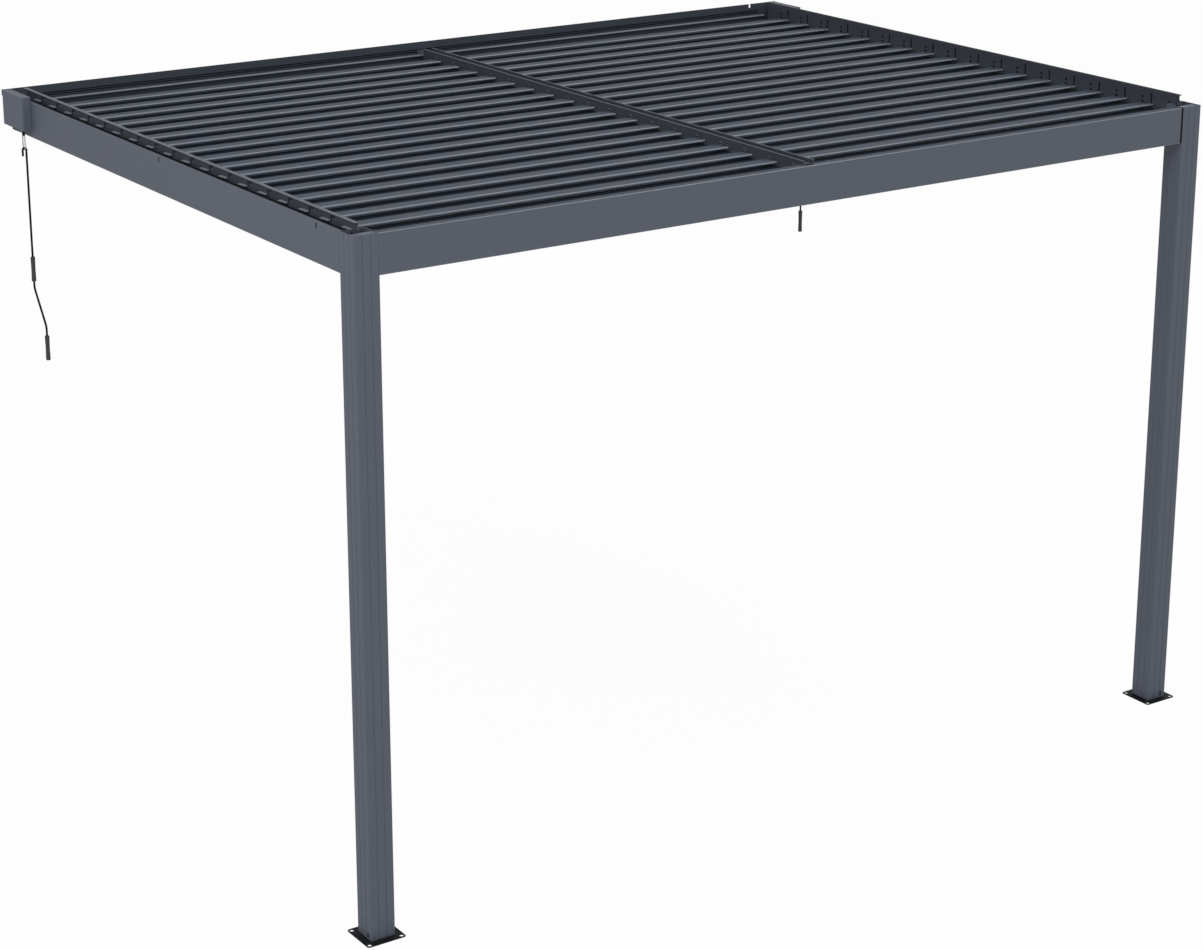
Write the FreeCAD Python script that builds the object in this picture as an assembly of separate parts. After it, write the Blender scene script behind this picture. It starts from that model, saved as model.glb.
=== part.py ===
import FreeCAD, Part
import math
import os

V = FreeCAD.Vector

# Wall-mounted louvred pergola. Origin: centre of the wall beam's back face.
# X runs along the wall, -Y away from it, +Z up. All sizes in millimetres.

# Overall frame
width = 4000.0             # over the outer faces of the side beams
depth = 2960.0             # wall face to the front beam's outer face
clear_height = 2500.0      # ground to the underside of the beams
beam_height = 150.0

# Posts and feet
post_size = 100.0
post_wall = 3.0
post_edge = 2.0            # bevel along the outer corners
groove_width = 4.0
groove_depth = 1.5
plate_size = 160.0
plate_thickness = 5.0
plate_bevel = 6.0          # cut off each corner
plate_hole_radius = 8.5
plate_hole_spacing = 134.0
drain_width = 9.0
drain_height = 20.0
drain_sill = 6.0          # drain slot's lower end above the plate
inlet_width = 60.0         # where the troughs empty into the post
inlet_height = 20.0

# Gutter beams: an upright outer chamber beside an open trough
beam_wall = 2.0
outer_chamber = 14.0       # width of the upright chamber
trough_wall = 3.0          # floor and upstand
upstand_height = 98.0      # at the front and the wall, above the beam's underside
lip_height = 17.0          # beside the louvres' ends, under their swing
trough_overlap = 17.0      # trough past the louvres' ends
beam_edge = 2.0            # bevel along the outer edges
strip_reach = 46.0         # front beam's closing strip, in from the outer face
strip_thickness = 2.0
strip_drop = 3.0           # strip's top below the beam's top
pocket_width = 125.0       # gap in the strip at the middle beam

# Wall beam and the flashing above it
wall_beam_depth = 65.0
wall_plate = 3.0           # thickness of the wall beam's back and ends
anchor_radius = 5.5
anchor_height = 95.0       # above the beam's underside
anchor_end = 150.0         # outermost anchor to the wall beam's end
anchor_pairs = 2
flashing_rise = 24.0       # above the beams' top
flashing_lap = 30.0        # below the beams' top, down the wall beam's back
flashing_thickness = 2.5
flashing_gap = 10.0        # slot beside the right corner piece
flashing_gap_depth = 18.0
flashing_corner = 113.0    # slot to the side beam's face
flashing_end = 46.0        # end of the lap, in from the side beam's face

# Middle beam
middle_width = 44.0
middle_drop = 12.0         # its top below the beams' top
middle_wall = 2.0
middle_end = 70.0          # its front end, behind the front beam's outer face

# Louvres
louvre_count = 18          # in each of the two bays
lip_front = 53.0           # first lip, behind the front beam's outer face
pivot_drop = 38.0          # pivot axis below the beams' top
lip_distance = 83.0        # lip's front face to the pivot
lip_top = 12.0             # above the pivot
lip_thickness = 3.0
lip_depth = 4.5            # top of the lip to the underside of its overhang
nose_height = 6.0
body_front = 49.0          # front wall of the hollow body, ahead of the pivot
body_bottom = 8.0          # underside below the pivot
body_bevel = 8.0
rim_overlap = 16.0         # rear rim past the next louvre's lip
rim_top = 0.0
rim_width = 4.0
channel_width = 14.0
channel_depth = 4.0
channel_slope = 2.0        # run of each of the channel's sides
louvre_wall = 2.0
port_radius = 8.0          # round port for the pivot, bulging into the front hollow
port_web = 7.6             # half width of the web that the port stands in
end_clearance = 8.0        # louvre's end to the post

# Pivots and linkage
pivot_radius = 5.0         # over the pin's corners
running_gap = 0.3          # radial, at every pivot
pin_past_web = 2.0         # pin's end beyond the rail's web
lever_offset = 23.0        # rail's web to the lever's near side
lever_thickness = 4.0
lever_radius = 36.0        # pivot to link pin
lever_angle = 45.0         # link pin behind the plumb line at rest, in degrees
lever_head = 9.0           # half width at the pivot
lever_tip = 6.0            # half width at the link pin
link_pin_radius = 3.5
link_pin_length = 8.0
link_side_gap = 1.0
link_thickness = 4.0
link_height = 14.0

# Louvre rails
rail_web = 46.0            # web's outer side, in from the side beam's face
rail_thickness = 3.0
rail_rise = 34.0           # above the beams' top
rail_depth = 65.0          # below the beams' top
rail_flange = 15.0
rail_front = 33.0          # front end, behind the front beam's outer face
rail_shelf = 50.0          # fixing leg's shelf below the beams' top
rail_leg_height = 45.0
post_clearance = 2.0
middle_rail_rise = 2.0

# Gear housings and cranks
housing_width = 40.0
housing_reach = 43.0       # ahead of the crank axis
housing_rise = 23.0        # above the beams' top
housing_height = 143.0
housing_inset = 6.0        # rear face, off the wall
housing_edge = 4.0         # bevel along the outer edges
shaft_reach = 20.0         # drive shaft, past the side beam's face
shaft_end_gap = 4.0
crank_axis_out = 22.0      # crank axis outside the side beam's face
crank_axis_back = 172.0    # crank axis to the wall
spindle_radius = 6.0
spindle_depth = 20.0       # length inside the housing
spindle_drop = 21.0        # below the housing
spindle_end_gap = 1.0
eye_width = 28.0           # outside
eye_height = 66.0
eye_wire = 5.0
rod_radius = 4.0
hook_gap = 0.4             # hook's inside to the eye
hook_width = 16.0          # rod's axis to the tip's axis
hook_bevel = 5.0
hook_length = 34.0         # top of the hook to its tip
grip_radius = 10.0
grip_length = 107.0
upper_grip_bottom = 1875.0  # above the ground
lower_grip_bottom = 1553.0
crank_offset = 106.0
bend_top = 1846.0
bend_bottom = 1699.0

half = width / 2
top = beam_height / 2
bottom = -beam_height / 2
ground = bottom - clear_height
front = -depth
trough_floor = bottom + trough_wall
upstand_top = bottom + upstand_height
lip_crest = bottom + lip_height
post_centre = half - post_size / 2
post_bottom = ground + plate_thickness
wall_beam_front = -wall_beam_depth
pivot_z = top - pivot_drop
front_pivot = front + lip_front + lip_distance
rear_pivot = -crank_axis_back
louvre_pitch = (rear_pivot - front_pivot) / (louvre_count - 1)
rim_reach = louvre_pitch - lip_distance + rim_overlap
web_inner = half - rail_web - rail_thickness
louvre_outer = half - post_size - end_clearance
end_gap = web_inner - louvre_outer
middle_web = middle_width / 2 + rail_thickness
louvre_inner = middle_web + end_gap
side_trough = half - louvre_outer + trough_overlap
middle_trough = louvre_inner + trough_overlap
crank_x = half + crank_axis_out
crank_y = rear_pivot
housing_bottom = top + housing_rise - housing_height
eye_top = housing_bottom - spindle_drop
rod_x = crank_x - hook_width / 2


def box(x0, x1, y0, y1, z0, z1):
    return Part.makeBox(x1 - x0, y1 - y0, z1 - z0, V(x0, y0, z0))


def rod(start, direction, radius, length):
    return Part.makeCylinder(radius, length, V(*start), V(*direction))


def flat_sided(radius, sides):
    """Corners of a regular polygon at the given radius."""
    angles = [2 * math.pi * (i + 0.5) / sides for i in range(sides)]
    return [(radius * math.cos(angle), radius * math.sin(angle)) for angle in angles]


def bar(start, direction, radius, length, sides=6):
    """Straight bar with flat sides and its corners at the given radius."""
    shape = section([flat_sided(radius, sides)]).extrude(V(0, 0, length))
    shape.Placement = FreeCAD.Placement(V(*start), FreeCAD.Rotation(V(0, 0, 1), V(*direction)))
    return shape


def socket(start, direction, radius, length, sides=6):
    """Bar whose flats, not its corners, lie at the given radius: it clears a turning pin."""
    return bar(start, direction, radius / math.cos(math.pi / sides), length, sides)


def outline(points):
    """Closed wire through (x, y) points."""
    corners = [V(x, y, 0) for x, y in points]
    return Part.makePolygon(corners + corners[:1])


def section(loops):
    """Face whose first loop is the outside and whose others are its hollows."""
    face = Part.Face(outline(loops[0]))
    for hollow in loops[1:]:
        face = face.cut(Part.Face(outline(hollow)))
    return face


def run_along_y(face, y0, y1):
    """Extrude an (across, up) section from y0 to y1; across becomes +X."""
    shape = face.extrude(V(0, 0, y1 - y0))
    shape.rotate(V(0, 0, 0), V(1, 0, 0), 90)
    shape.translate(V(0, y1, 0))
    return shape


def run_along_x(face, x0, x1):
    """Extrude a (back, up) section from x0 to x1; back becomes +Y."""
    shape = face.extrude(V(0, 0, x1 - x0))
    shape.rotate(V(0, 0, 0), V(1, 1, 1), 120)
    shape.translate(V(x0, 0, 0))
    return shape


def mirrored(shape):
    return shape.mirror(V(0, 0, 0), V(1, 0, 0))


def rectangle(x0, x1, y0, y1):
    return [(x0, y0), (x1, y0), (x1, y1), (x0, y1)]


def bevelled(x0, x1, y0, y1, bevel):
    """Rectangle with its four corners cut off."""
    return [(x0 + bevel, y0), (x1 - bevel, y0), (x1, y0 + bevel), (x1, y1 - bevel),
            (x1 - bevel, y1), (x0 + bevel, y1), (x0, y1 - bevel), (x0, y0 + bevel)]


# Posts: grooved square tubes on black foot plates
def post_outline():
    """Square with two shallow grooves in each face and bevelled corners."""
    h = post_size / 2
    side = [(-h, -h + post_edge), (-h + post_edge, -h)]
    for centre in (-post_size / 6, post_size / 6):
        side.append((centre - groove_width / 2, -h))
        side.append((centre - groove_width / 2, -h + groove_depth))
        side.append((centre + groove_width / 2, -h + groove_depth))
        side.append((centre + groove_width / 2, -h))
    points = []
    for turn in range(4):
        for x, y in side:
            for _ in range(turn):
                x, y = -y, x
            points.append((x, y))
    return points


def make_post():
    """Left post: inlets for the troughs near its top, a drain slot low outside."""
    inner = post_size / 2 - post_wall
    tube = section([post_outline(), rectangle(-inner, inner, -inner, inner)])
    tube = tube.extrude(V(0, 0, top - post_bottom))
    drain_y = -post_size / 4
    slot = box(-post_size, 0, drain_y - drain_width / 2, drain_y + drain_width / 2,
               drain_sill, drain_sill + drain_height)
    sill = trough_floor - post_bottom
    reach = inlet_width / 2
    inlets = [box(0, post_size, -reach, reach, sill, sill + inlet_height),
              box(-reach, reach, 0, post_size, sill, sill + inlet_height)]
    tube = tube.cut([slot] + inlets)
    tube.translate(V(0, 0, post_bottom))
    return tube


def close_top(post):
    """Carry the front beam's closing strip on across the top of a post."""
    h = post_size / 2
    inner = h - post_wall
    strip_top = top - strip_drop
    return post.fuse(box(-inner, inner, outer_chamber - h, strip_reach - h,
                         strip_top - strip_thickness, strip_top))


def at_post(shape, side):
    moved = shape.copy()
    moved.translate(V(side * post_centre, front + post_size / 2, 0))
    return moved


def make_foot():
    h = plate_size / 2
    plate = section([bevelled(-h, h, -h, h, plate_bevel)]).extrude(V(0, 0, plate_thickness))
    reach = plate_hole_spacing / 2
    for x, y in rectangle(-reach, reach, -reach, reach):
        plate = plate.cut(rod((x, y, 0), (0, 0, 1), plate_hole_radius, plate_thickness))
    plate.translate(V(0, 0, ground))
    return plate


# Gutter beams
def gutter_section(reach, crest):
    """Section seen with the outer face at 0 and the trough reaching in to its right."""
    w = beam_wall
    e = beam_edge
    inner = reach - trough_wall
    outside = [(e, bottom), (reach, bottom), (reach, crest), (inner, crest),
               (inner, trough_floor), (outer_chamber, trough_floor), (outer_chamber, top),
               (e, top), (0, top - e), (0, bottom + e)]
    chamber = rectangle(w, outer_chamber - w, bottom + w, top - w)
    return section([outside, chamber])


def make_side_beam():
    """Left side beam, from the front post back to the wall beam."""
    beam = run_along_y(gutter_section(side_trough, lip_crest), front + post_size,
                       wall_beam_front)
    beam.translate(V(-half, 0, 0))
    hole = bar((-half, rear_pivot, pivot_z), (1, 0, 0), 2 * pivot_radius, outer_chamber)
    return beam.cut(hole)


def make_front_beam():
    """Front beam between the posts, with a way in from the middle beam's troughs."""
    reach = half - post_size
    beam = run_along_x(gutter_section(post_size, upstand_top), -reach, reach)
    beam.translate(V(0, front, 0))
    inlet = middle_trough - trough_wall
    beam = beam.cut(box(-inlet, inlet, front + post_size - trough_wall, front + post_size,
                        trough_floor, lip_crest))
    strip_top = top - strip_drop
    for side in (-1, 1):
        near, far = sorted((side * pocket_width / 2, side * reach))
        strip = box(near, far, front + outer_chamber, front + strip_reach,
                    strip_top - strip_thickness, strip_top)
        beam = beam.fuse(strip)
    return beam


def wall_anchor_places():
    """Distances of the anchors from the middle, on either side."""
    step = (width - 2 * anchor_end) / (2 * anchor_pairs - 1)
    return [step * (pair + 0.5) for pair in range(anchor_pairs)]


def make_wall_beam():
    """Gutter against the wall: a bolted back plate, a floor, an upstand and two ends."""
    d = wall_beam_depth
    upstand = trough_wall - d
    outside = [(-d, bottom), (0, bottom), (0, top), (-wall_plate, top),
               (-wall_plate, trough_floor), (upstand, trough_floor), (upstand, upstand_top),
               (-d, upstand_top)]
    beam = run_along_x(section([outside]), -half, half)
    for x0 in (-half, half - wall_plate):
        beam = beam.fuse(box(x0, x0 + wall_plate, -d, 0, bottom, top))
    inside = half - side_trough + trough_wall
    outlets = [box(-half + outer_chamber, -inside, -d, upstand, trough_floor, lip_crest),
               box(inside, half - outer_chamber, -d, upstand, trough_floor, lip_crest)]
    anchors = [rod((x, -wall_plate, bottom + anchor_height), (0, 1, 0), anchor_radius,
                   wall_plate) for reach in wall_anchor_places() for x in (-reach, reach)]
    return beam.cut(outlets + anchors).removeSplitter()


def make_flashing():
    """Folded strip over the wall beam and behind the housings, lapping the beam's back."""
    t = flashing_thickness
    reach = half + housing_width
    near = -wall_plate
    crest = top + flashing_rise
    fold = [(near - t, top - flashing_lap), (near, top - flashing_lap), (near, crest - t),
            (0, crest - t), (0, crest), (near - t, crest)]
    strip = run_along_x(section([fold]), -reach, reach)
    for x0 in (-reach, half - flashing_end):
        strip = strip.cut(box(x0, x0 + reach - half + flashing_end, near - t, 0,
                              top - flashing_lap, top))
    slot_end = half - flashing_corner
    return strip.cut(box(slot_end - flashing_gap, slot_end, near - t, 0,
                         crest - flashing_gap_depth, crest))


def over_the_gutters(shape, half_width):
    """Notch a beam's ends so that they lie on the upstands of the two gutters."""
    for y0, y1 in ((front, front + post_size), (wall_beam_front, 0)):
        shape = shape.cut(box(-half_width, half_width, y0, y1, bottom, upstand_top))
    return shape


def make_middle_beam():
    """Box tube on a shallow trough that catches the rain from both bays' louvre ends."""
    h = middle_width / 2
    w = middle_wall
    reach = middle_trough
    inner = reach - trough_wall
    crest = top - middle_drop
    outside = [(-reach, bottom), (reach, bottom), (reach, lip_crest), (inner, lip_crest),
               (inner, trough_floor), (h, trough_floor), (h, crest), (-h, crest),
               (-h, trough_floor), (-inner, trough_floor), (-inner, lip_crest),
               (-reach, lip_crest)]
    tube = rectangle(w - h, h - w, trough_floor, crest - w)
    beam = run_along_y(section([outside, tube]), front + middle_end,
                       -wall_plate - flashing_thickness)
    return over_the_gutters(beam, reach)


# Louvres: hollow blades with a lip in front and a rain channel behind
def blade_top(u):
    """Height of the sloping top at a distance u behind the pivot."""
    channel_front = rim_reach - rim_width - channel_width
    fall = (lip_top - rim_top) / (channel_front + lip_distance)
    return lip_top - fall * (u + lip_distance)


def blade_section():
    """Section in (behind the pivot, above the pivot), with a port at the pivot."""
    w = louvre_wall
    low = -body_bottom
    nose = lip_top - nose_height
    overhang = lip_top - lip_depth
    lip_back = lip_thickness - lip_distance
    rim = rim_reach - rim_width
    channel = rim - channel_width
    channel_floor = rim_top - channel_depth
    outside = [(-lip_distance, nose), (-lip_distance, lip_top), (channel, rim_top),
               (channel + channel_slope, channel_floor), (rim - channel_slope, channel_floor),
               (rim, rim_top), (rim_reach, rim_top), (rim_reach, low),
               (body_bevel - body_front, low), (-body_front, low + body_bevel),
               (-body_front, overhang), (lip_back, overhang), (lip_back, nose)]
    start = w - body_front
    front_hollow = [(start, low + body_bevel), (start + body_bevel - w, low + w),
                    (-port_web, low + w), (-port_web, blade_top(-port_web) - w),
                    (start, blade_top(start) - w)]
    end = channel - w
    rear_hollow = [(port_radius, low + w), (end, low + w), (end, blade_top(end) - w),
                   (port_radius, blade_top(port_radius) - w)]
    port = Part.Face(Part.Wire(Part.makeCircle(port_radius)))
    return section([outside, rear_hollow]).cut(section([front_hollow]).cut(port))


def make_lever(lever_x):
    """Tapered lever on the pivot, with the pin that the link bar hangs on."""
    plate = [(-lever_head, lever_head), (lever_head, lever_head),
             (lever_tip, -lever_radius - lever_tip), (-lever_tip, -lever_radius - lever_tip)]
    lever = run_along_x(section([plate]), lever_x, lever_x + lever_thickness)
    pin_x = lever_x + lever_thickness
    pin = bar((pin_x, 0, -lever_radius), (1, 0, 0), link_pin_radius, link_pin_length, 4)
    lever = lever.fuse(pin)
    lever.rotate(V(0, 0, 0), V(1, 0, 0), lever_angle)
    return lever


def make_louvre(blade, driven):
    """Left-bay louvre on its pivot at y = 0, z = 0, with pins, lever and link pin."""
    pin_start = -half + rail_web - pin_past_web
    if driven:
        pin_start = -half - shaft_reach
    outer_pin = bar((pin_start, 0, 0), (1, 0, 0), pivot_radius, -louvre_outer - pin_start)
    inner_length = end_gap + rail_thickness / 2
    inner_pin = bar((-louvre_inner, 0, 0), (1, 0, 0), pivot_radius, inner_length)
    lever = make_lever(-web_inner + lever_offset)
    return blade.fuse([outer_pin, inner_pin, lever]).removeSplitter()


def make_link_bar():
    """Left link bar with one hole for each louvre's link pin."""
    x0 = -web_inner + lever_offset + lever_thickness + link_side_gap
    shift = lever_radius * math.sin(math.radians(lever_angle))
    height = pivot_z - lever_radius * math.cos(math.radians(lever_angle))
    h = link_height / 2
    y0 = front_pivot + shift
    y1 = rear_pivot + shift
    link = box(x0, x0 + link_thickness, y0 - h, y1, height - h, height + h)
    link = link.fuse(rod((x0, y1, height), (1, 0, 0), h, link_thickness))
    holes = [socket((x0, y0 + i * louvre_pitch, height), (1, 0, 0),
                    link_pin_radius + running_gap, link_thickness, 4)
             for i in range(louvre_count)]
    return link.cut(holes).removeSplitter()


# Rails that carry the louvres' pivots
def bearing_holes(x0, x1):
    """Square holes, one for each louvre's pin, through a web from x0 to x1."""
    return [socket((x0, front_pivot + i * louvre_pitch, pivot_z), (1, 0, 0),
                   pivot_radius + running_gap, x1 - x0, 4) for i in range(louvre_count)]


def make_outer_rail():
    """Left rail: web, outward top flange, and a leg against the side beam."""
    t = rail_thickness
    web = rail_web
    leg = outer_chamber
    crest = top + rail_rise
    shelf = top - rail_shelf
    base = top - rail_depth
    profile = [(web + t, base), (web + t, crest), (web + t - rail_flange, crest),
               (web + t - rail_flange, crest - t), (web, crest - t), (web, shelf + t),
               (leg + t, shelf + t), (leg + t, shelf + rail_leg_height),
               (leg, shelf + rail_leg_height), (leg, shelf), (web, shelf), (web, base)]
    rail = run_along_y(section([profile]), front + rail_front, wall_beam_front)
    over_post = box(0, post_size, front, front + post_size + post_clearance,
                    bottom, top + post_clearance)
    rail = rail.cut(over_post)
    rail.translate(V(-half, 0, 0))
    rail = rail.cut(bearing_holes(-half + web, -web_inner))
    shaft_hole = socket((-half + leg, rear_pivot, pivot_z), (1, 0, 0),
                        pivot_radius + running_gap, t, 4)
    return rail.cut(shaft_hole)


def make_middle_rail():
    """Left-bay rail on the middle beam's side."""
    h = middle_width / 2
    rail = box(-middle_web, -h, front + middle_end, wall_beam_front,
               top - rail_depth, top + middle_rail_rise)
    rail = over_the_gutters(rail, middle_web)
    return rail.cut(bearing_holes(-middle_web, -h))


# Gear housing and crank
def make_housing():
    """Left gear housing, bored for the drive shaft and the crank's spindle."""
    y0 = rear_pivot - housing_reach
    y1 = -housing_inset
    plan = bevelled(-half - housing_width, -half + housing_edge, y0, y1, housing_edge)
    shell = section([plan]).extrude(V(0, 0, housing_height))
    shell.translate(V(0, 0, housing_bottom))
    shell = shell.cut(box(-half, -half + housing_edge, y0, y1, housing_bottom,
                          housing_bottom + housing_height))
    shaft_socket = socket((-half, rear_pivot, pivot_z), (-1, 0, 0),
                          pivot_radius + running_gap, shaft_reach + shaft_end_gap)
    spindle_socket = socket((-crank_x, crank_y, housing_bottom), (0, 0, 1),
                            spindle_radius + running_gap, spindle_depth + spindle_end_gap)
    return shell.cut([shaft_socket, spindle_socket])


def make_eye():
    """Long flat-sided eye under the spindle, across the crank's axis."""
    w = eye_width / 2
    inside = w - eye_wire
    outer = bevelled(-w, w, -eye_height, 0, w / 2)
    inner = bevelled(-inside, inside, eye_wire - eye_height, -eye_wire, inside / 3)
    eye = run_along_x(section([outer, inner]), -eye_wire / 2, eye_wire / 2)
    eye.translate(V(-crank_x, crank_y, eye_top))
    return eye


def make_crank():
    """Left crank: spindle with its eye, and the hooked rod that hangs from it."""
    spindle = rod((-crank_x, crank_y, eye_top - eye_wire), (0, 0, 1), spindle_radius,
                  spindle_drop + spindle_depth + eye_wire)
    arch = eye_top - eye_height + eye_wire + hook_gap + rod_radius
    shoulder = arch - hook_bevel
    inward = -rod_x - hook_bevel
    outward = -rod_x - hook_width + hook_bevel
    tip = V(-rod_x - hook_width, crank_y, arch - hook_length)
    lower_y = crank_y - crank_offset
    path = [tip, V(tip.x, crank_y, shoulder), V(outward, crank_y, arch),
            V(inward, crank_y, arch), V(-rod_x, crank_y, shoulder),
            V(-rod_x, crank_y, ground + bend_top), V(-rod_x, lower_y, ground + bend_bottom),
            V(-rod_x, lower_y, ground + lower_grip_bottom + grip_length / 2)]
    profile = outline(flat_sided(rod_radius, 6))
    profile.translate(tip)
    shank = Part.makePolygon(path).makePipeShell([profile], True, False, 1)
    return Part.makeCompound([spindle.fuse(make_eye()).removeSplitter(), shank])


def make_grips():
    """The crank's two sleeves; the rod ends half way up the lower one."""
    grips = []
    places = ((crank_y, upper_grip_bottom, grip_length),
              (crank_y - crank_offset, lower_grip_bottom, grip_length / 2))
    for y, height, rod_inside in places:
        grip_top = ground + height + grip_length
        grip = bar((-rod_x, y, grip_top), (0, 0, -1), grip_radius, grip_length, 8)
        grips.append(grip.cut(socket((-rod_x, y, grip_top), (0, 0, -1),
                                     rod_radius + hook_gap, rod_inside + hook_gap)))
    return Part.makeCompound(grips)


def make_all():
    nodes = {}
    post = make_post()
    turned = post.copy()
    turned.rotate(V(0, 0, 0), V(0, 0, 1), 90)
    foot = make_foot()
    nodes["left_post"] = at_post(close_top(post), -1)
    nodes["right_post"] = at_post(close_top(turned), 1)
    nodes["left_foot_plate"] = at_post(foot, -1)
    nodes["right_foot_plate"] = at_post(foot, 1)
    nodes["front_beam"] = make_front_beam()
    nodes["wall_beam"] = make_wall_beam()
    nodes["wall_flashing"] = make_flashing()
    nodes["middle_beam"] = make_middle_beam()
    paired = {
        "side_beam": make_side_beam(),
        "louvre_rail": make_outer_rail(),
        "middle_rail": make_middle_rail(),
        "link_bar": make_link_bar(),
        "gear_housing": make_housing(),
        "crank": make_crank(),
        "crank_grips": make_grips(),
    }
    blade = run_along_x(blade_section(), -louvre_outer, -louvre_inner)
    follower = make_louvre(blade, False)
    leader = make_louvre(blade, True)
    for i in range(louvre_count):
        louvre = (leader if i == louvre_count - 1 else follower).copy()
        louvre.translate(V(0, front_pivot + i * louvre_pitch, pivot_z))
        paired["louvre_%02d" % (i + 1)] = louvre
    for name, shape in paired.items():
        nodes["left_" + name] = shape
        nodes["right_" + name] = mirrored(shape)
    return nodes


os.makedirs("parts", exist_ok=True)
for name, shape in make_all().items():
    shape.exportStep("parts/%s.step" % name)
    print(name, len(shape.Solids), shape.isValid(), round(shape.Volume / 1e6, 3))
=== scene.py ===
from math import cos, pi, radians, sin, tan

import bmesh
import bpy
import numpy as np
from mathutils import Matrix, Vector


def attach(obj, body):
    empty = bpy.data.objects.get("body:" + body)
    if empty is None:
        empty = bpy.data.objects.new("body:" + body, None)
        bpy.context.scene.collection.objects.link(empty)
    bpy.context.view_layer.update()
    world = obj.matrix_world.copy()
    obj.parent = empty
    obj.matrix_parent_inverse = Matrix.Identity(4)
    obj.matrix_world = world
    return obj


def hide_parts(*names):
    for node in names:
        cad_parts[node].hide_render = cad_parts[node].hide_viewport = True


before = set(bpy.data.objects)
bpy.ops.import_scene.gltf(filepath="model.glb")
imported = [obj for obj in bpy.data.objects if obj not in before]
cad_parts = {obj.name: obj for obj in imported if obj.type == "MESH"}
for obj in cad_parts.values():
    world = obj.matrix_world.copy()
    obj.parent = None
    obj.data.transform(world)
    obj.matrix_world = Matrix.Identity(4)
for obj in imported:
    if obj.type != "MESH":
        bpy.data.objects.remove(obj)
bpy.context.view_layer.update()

# Sizes are in millimetres and become metres in addMesh. x runs along the wall from the middle,
# y is negative out from the wall to the posts, and z is measured from the beams' mid height.
mm = 0.001
sides = {"left": -1.0, "right": 1.0}

# What the louvres, the rails' fittings and the joint at the post share
roof = {
    "front": -2960.0,                        # front face of the front beam and the posts
    "beamFace": 2000.0,                      # outer face of a side beam
    "postFace": 1900.0,                      # inner face of a post
    "louvres": 18, "pitch": 156.0,
    "firstPivot": 136.0,                     # from the front to the first louvre's pivot
    "pivotHeight": 37.0,
    "railInner": 1951.0, "railOuter": 1954.0,
}


# Helpers for colours and materials

def linear(hexColour):
    # sRGB hex turned into linear red, green, blue and alpha
    values = np.array([int(hexColour[i:i + 2], 16) for i in (1, 3, 5)]) / 255.0
    low = values / 12.92
    high = ((values + 0.055) / 1.055) ** 2.4
    return (*np.where(values <= 0.04045, low, high).tolist(), 1.0)


def toned(colour, factor, lift=0.0):
    # the colour times a factor, plus a small lift, with full alpha
    return (*(min(1.0, value * factor + lift) for value in colour[:3]), 1.0)


def newMaterial(name):
    material = bpy.data.materials.new(name)
    material.use_nodes = True
    material.node_tree.nodes.clear()
    return material


def addNode(owner, kind, inputs=None, **settings):
    # one node in a material or world; an input takes a value or the socket that feeds it
    node = owner.node_tree.nodes.new(kind)
    for key, value in settings.items():
        setattr(node, key, value)
    for key, value in (inputs or {}).items():
        if isinstance(value, bpy.types.NodeSocket):
            owner.node_tree.links.new(value, node.inputs[key])
        else:
            node.inputs[key].default_value = value
    return node


def patternPlace(material):
    # object coordinates in metres, moved so that patterns start under the middle of the roof
    coordinates = addNode(material, "ShaderNodeTexCoord")
    mapping = addNode(material, "ShaderNodeMapping", {
        "Vector": coordinates.outputs["Object"], "Location": (0.0, 1.5, 0.0)})
    return mapping.outputs["Vector"]


def powderCoat(name, colour, look):
    # sprayed and baked coat: a matt skin of fine pebbles whose tone and gloss drift a little
    material = newMaterial(name)
    place = patternPlace(material)
    drift = addNode(material, "ShaderNodeTexNoise", {
        "Vector": place, "Scale": 1000.0 / look["driftSize"], "Detail": 3.0, "Roughness": 0.55})
    pebble = addNode(material, "ShaderNodeTexNoise", {
        "Vector": place, "Scale": 1000.0 / look["pebbleSize"], "Detail": 2.0, "Roughness": 0.6})
    base = linear(colour)
    tone = addNode(material, "ShaderNodeMix", {
        0: drift.outputs["Fac"], 6: toned(base, 1.0 - look["drift"]),
        7: toned(base, 1.0 + look["drift"])}, data_type="RGBA")
    speck = addNode(material, "ShaderNodeMapRange", {
        "Value": pebble.outputs["Fac"], "From Min": 0.35, "From Max": 0.65,
        "To Min": 1.0 - look["speck"], "To Max": 1.0 + look["speck"]})
    tone = addNode(material, "ShaderNodeMix", {
        0: 1.0, 6: tone.outputs[2], 7: speck.outputs["Result"]},
        data_type="RGBA", blend_type="MULTIPLY")
    gloss = addNode(material, "ShaderNodeMapRange", {
        "Value": drift.outputs["Fac"], "From Min": 0.3, "From Max": 0.7,
        "To Min": look["roughness"] - look["glossDrift"],
        "To Max": look["roughness"] + look["glossDrift"]})
    bump = addNode(material, "ShaderNodeBump", {
        "Height": pebble.outputs["Fac"], "Strength": look["bump"], "Distance": 0.0002})
    shader = addNode(material, "ShaderNodeBsdfPrincipled", {
        "Base Color": tone.outputs[2], "Roughness": gloss.outputs["Result"],
        "Specular IOR Level": look["specular"], "Normal": bump.outputs["Normal"]})
    addNode(material, "ShaderNodeOutputMaterial", {"Surface": shader.outputs["BSDF"]})
    return material


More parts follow.
